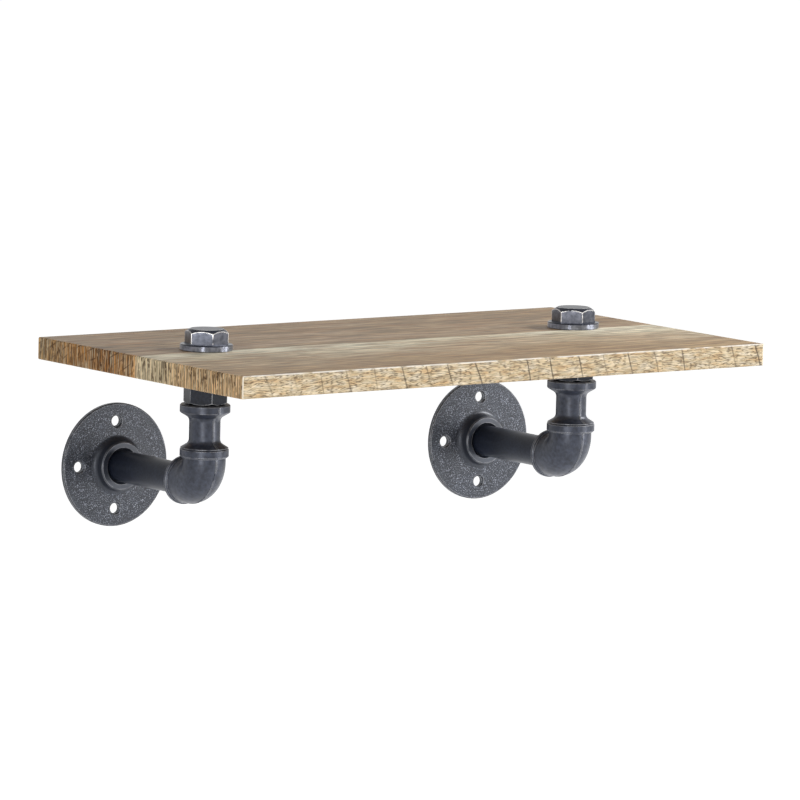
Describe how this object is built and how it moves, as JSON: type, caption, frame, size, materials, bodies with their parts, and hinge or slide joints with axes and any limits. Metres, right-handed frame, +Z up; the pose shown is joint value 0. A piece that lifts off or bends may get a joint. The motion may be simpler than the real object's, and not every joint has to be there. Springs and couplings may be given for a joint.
{
  "type": "pipe wall shelf",
  "caption": "Wall shelf: a wood-effect laminated board carried on brackets of black pipe fittings, each with a round wall flange, pipe, elbow, necked riser and capped bolt.",
  "frame": {"origin": "on the wall plane, midway between the two wall flanges, at the height of the pipe axes", "axes": "+X along the board to the right as seen from the front, +Y into the wall, +Z up"},
  "size_m": [0.43, 0.24, 0.1458],
  "materials": {
    "fibreboard": "raw fibreboard",
    "wood_effect_face": "satin melamine, weathered oak print in two planks",
    "long_edge_band": "satin edge band, pale oak print with saw checks",
    "end_edge_band": "satin edge band, end grain print",
    "sand_cast_iron": "sand-cast, charcoal lacquer",
    "malleable_iron": "cast and tumbled smooth, charcoal lacquer",
    "black_pipe": "drawn pipe, satin charcoal lacquer",
    "gunmetal_steel": "burnished gunmetal plating"
  },
  "bodies": {
    "root": {"shelf_core": "fibreboard", "top_laminate": "wood_effect_face", "bottom_laminate": "wood_effect_face", "front_edge_band": "long_edge_band", "rear_edge_band": "long_edge_band", "left_edge_band": "end_edge_band", "right_edge_band": "end_edge_band", "left_wall_flange": "sand_cast_iron", "left_pipe_nipple": "black_pipe", "left_elbow": "malleable_iron", "left_riser": "malleable_iron", "left_hex_adapter": "malleable_iron", "left_washer": "gunmetal_steel", "left_cap_bolt": "gunmetal_steel", "right_wall_flange": "sand_cast_iron", "right_pipe_nipple": "black_pipe", "right_elbow": "malleable_iron", "right_riser": "malleable_iron", "right_hex_adapter": "malleable_iron", "right_washer": "gunmetal_steel", "right_cap_bolt": "gunmetal_steel"}
  },
  "joints": []
}
